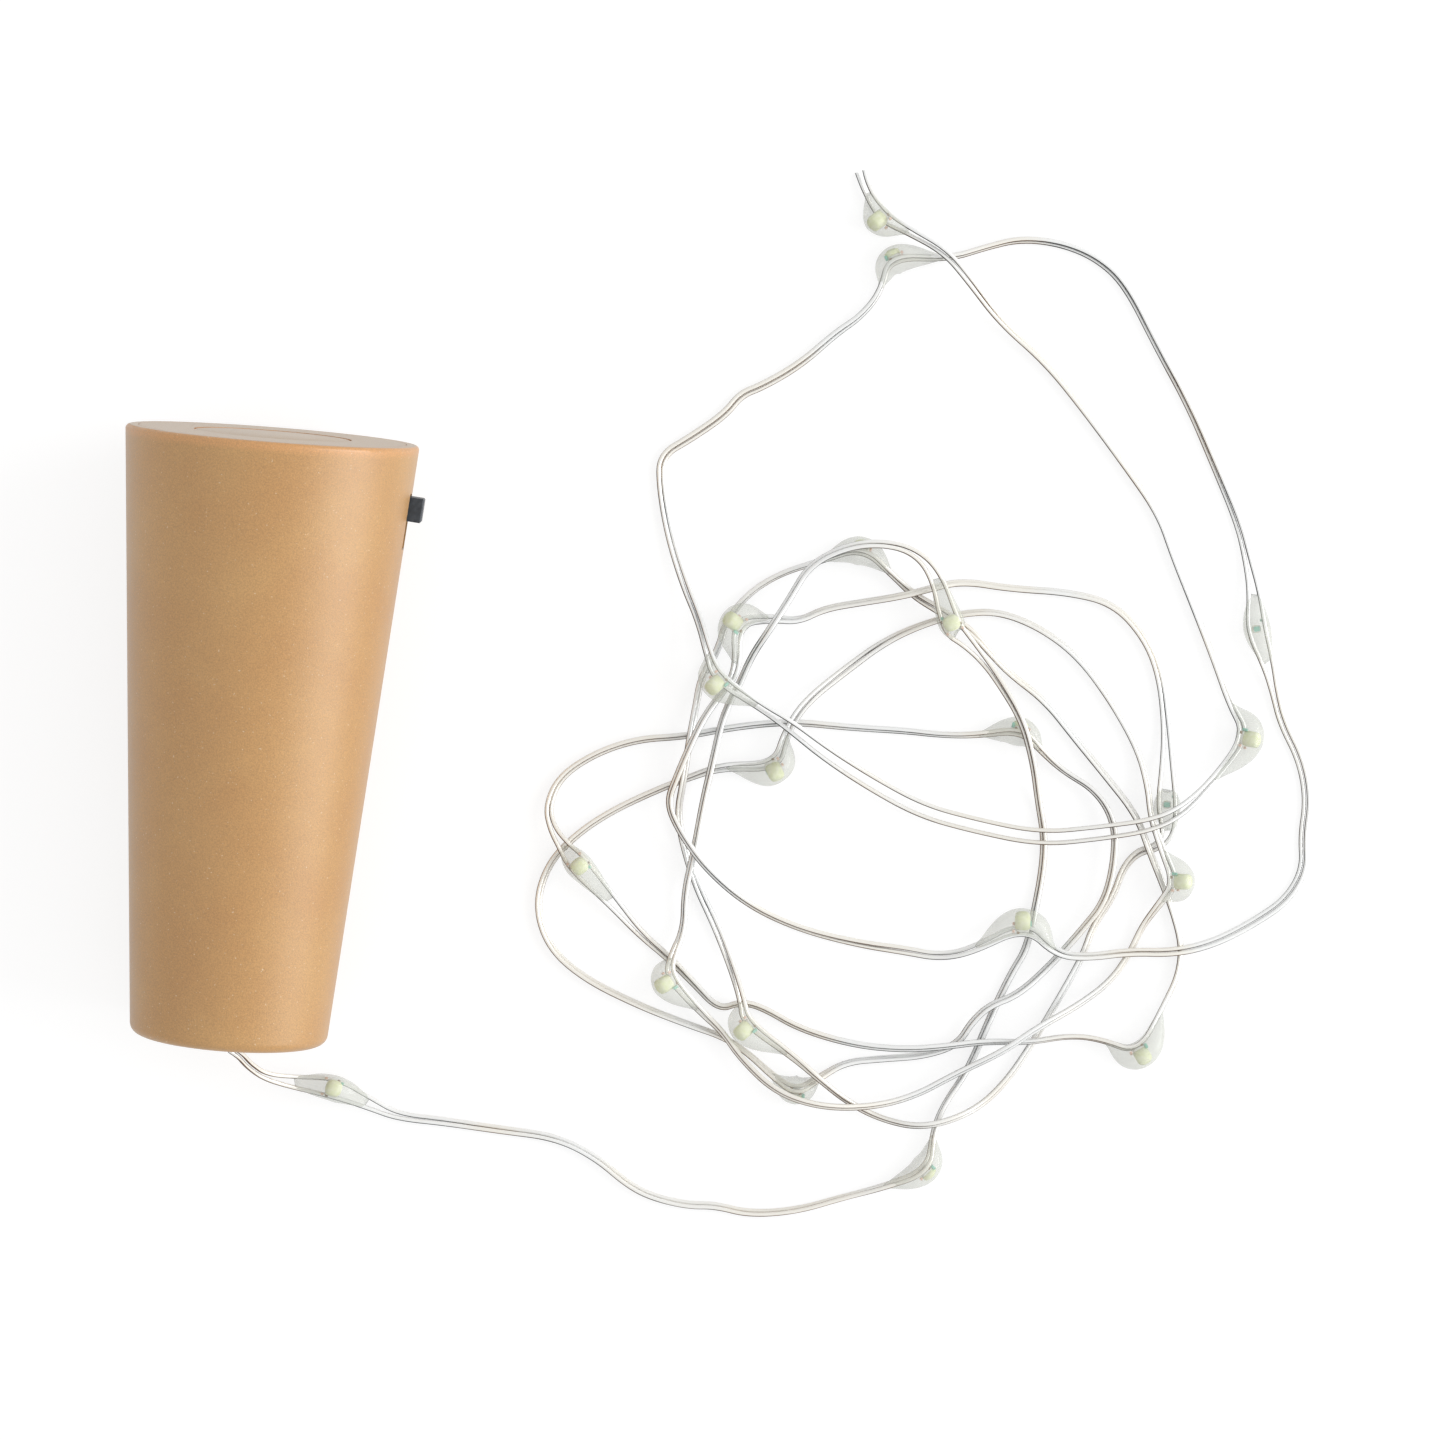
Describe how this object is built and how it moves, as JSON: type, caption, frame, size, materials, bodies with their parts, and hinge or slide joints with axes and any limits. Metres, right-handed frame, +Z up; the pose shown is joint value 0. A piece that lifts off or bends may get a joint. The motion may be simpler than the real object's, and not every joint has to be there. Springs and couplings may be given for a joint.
{
  "type": "cork bottle light",
  "caption": "Tapered cork-coloured bottle stopper that holds button cells and a slide switch, with a string of resin-covered light beads on two thin bare wires.",
  "frame": {"origin": "the middle of the stopper's box, knob included, at the height of the surface that it lies on", "axes": "+Y along the stopper towards its wide end, +X towards the switch and the light string, +Z up"},
  "size_m": [0.0958, 0.0843, 0.0228],
  "materials": {
    "cork_plastic": "satin tan, fine grain",
    "black_plastic": "satin",
    "cell_steel": "bright",
    "spring_metal": "bright",
    "board_green": "gloss",
    "resistor_black": "gloss",
    "lead_red": "gloss",
    "lead_black": "gloss",
    "seal_glue": "milky",
    "wire_silver": "bright",
    "resin_clear": "clear gloss",
    "chip_white": "gloss",
    "phosphor_yellow": "matte"
  },
  "bodies": {
    "root": {"stopper_shell": "cork_plastic", "end_plate": "cork_plastic", "switch_body": "black_plastic", "battery_tube": "black_plastic", "button_cell_1": "cell_steel", "button_cell_2": "cell_steel", "button_cell_3": "cell_steel", "negative_contact": "spring_metal", "positive_contact": "spring_metal", "switch_terminals": "spring_metal", "circuit_board": "board_green", "series_resistor": "resistor_black", "string_lead_positive": "lead_red", "string_lead_negative": "lead_black", "battery_lead": "lead_black", "wire_seal": "seal_glue", "wire_positive": "wire_silver", "wire_negative": "wire_silver", "led_bead_01": "resin_clear", "led_bead_02": "resin_clear", "led_bead_03": "resin_clear", "led_bead_04": "resin_clear", "led_bead_05": "resin_clear", "led_bead_06": "resin_clear", "led_bead_07": "resin_clear", "led_bead_08": "resin_clear", "led_bead_09": "resin_clear", "led_bead_10": "resin_clear", "led_bead_11": "resin_clear", "led_bead_12": "resin_clear", "led_bead_13": "resin_clear", "led_bead_14": "resin_clear", "led_bead_15": "resin_clear", "led_bead_16": "resin_clear", "led_bead_17": "resin_clear", "led_bead_18": "resin_clear", "led_bead_19": "resin_clear", "led_bead_20": "resin_clear", "led_chips": "chip_white", "led_phosphors": "phosphor_yellow"},
    "switch_slider": {"switch_knob": "black_plastic"},
    "battery_cover": {"battery_lid": "cork_plastic"}
  },
  "joints": [
    {"name": "switch_slide", "type": "slide", "parent": "root", "child": "switch_slider", "axis": [-0.0781, -0.9939, -0.0778], "range_m": [0, 0.002]},
    {"name": "battery_lid_slide", "type": "slide", "parent": "root", "child": "battery_cover", "axis": [0, 0.9969, 0.0781], "range_m": [0, 0.012]}
  ]
}
